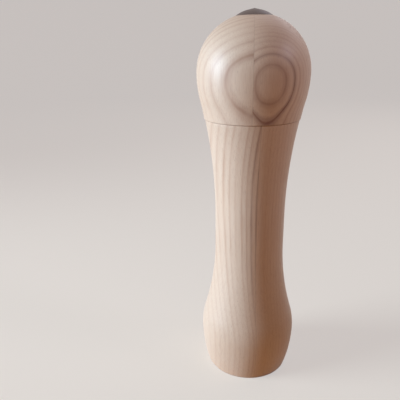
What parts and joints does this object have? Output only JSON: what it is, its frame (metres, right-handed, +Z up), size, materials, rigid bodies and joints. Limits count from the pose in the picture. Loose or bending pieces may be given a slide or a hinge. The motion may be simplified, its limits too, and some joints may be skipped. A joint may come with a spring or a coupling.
{
  "type": "pepper mill",
  "caption": "Turned pale wooden pepper mill with a waisted body, a ball head that turns and lifts off, a dark cap, and a ceramic grinder set by a knob under the base.",
  "frame": {"origin": "centre of the flat foot, on the table", "axes": "+Z up the mill's axis of turning; +X to the right and +Y away in the picture's view"},
  "size_m": [0.0624, 0.0624, 0.218],
  "materials": {
    "ash": "fine-turned pale ash, rubbed with thin oil",
    "wenge": "dark close-grained wood, polished",
    "black_acetal": "moulded, fine satin",
    "grey_acetal": "moulded, fine satin",
    "zinc_steel": "zinc plated",
    "nitrile_rubber": "moulded",
    "drawn_aluminium": "drawn bar, satin",
    "spring_steel": "bright",
    "bronze": "turned",
    "white_ceramic": "fired, unglazed"
  },
  "bodies": {
    "mill_body": {"body": "ash", "housing": "black_acetal", "housing_screws": "zinc_steel", "spider": "black_acetal", "bearing_bush": "bronze", "thrust_washer": "spring_steel", "stator": "white_ceramic", "stator_clip": "spring_steel"},
    "drive": {"shaft": "drawn_aluminium", "end_clip": "spring_steel", "rotor_spring": "spring_steel"},
    "rotor_set": {"rotor": "white_ceramic", "rotor_core": "black_acetal"},
    "knob": {"adjusting_knob": "grey_acetal", "knob_nut": "bronze"},
    "head_set": {"head": "ash", "top_cap": "wenge", "drive_socket": "black_acetal", "socket_screws": "zinc_steel", "grip_ring": "nitrile_rubber"}
  },
  "joints": [
    {"name": "mill_turn", "type": "hinge", "parent": "mill_body", "child": "drive", "pos_m": [0, 0, 0.04], "axis": [0, 0, 1], "continuous": true},
    {"name": "head_lift", "type": "slide", "parent": "drive", "child": "head_set", "axis": [0, 0, 1], "range_m": [0, 0.045]},
    {"name": "grind_set", "type": "slide", "parent": "drive", "child": "rotor_set", "axis": [0, 0, 1], "range_m": [-0.00052, 0.00052], "deforming": ["rotor_spring"]},
    {"name": "knob_turn", "type": "hinge", "parent": "rotor_set", "child": "knob", "pos_m": [0, 0, 0.006], "axis": [0, 0, 1], "range_deg": [-270, 270]}
  ],
  "couplings": [
    {"joint": "knob_turn", "follows": "grind_set", "rad_per_m": 8975.9}
  ]
}
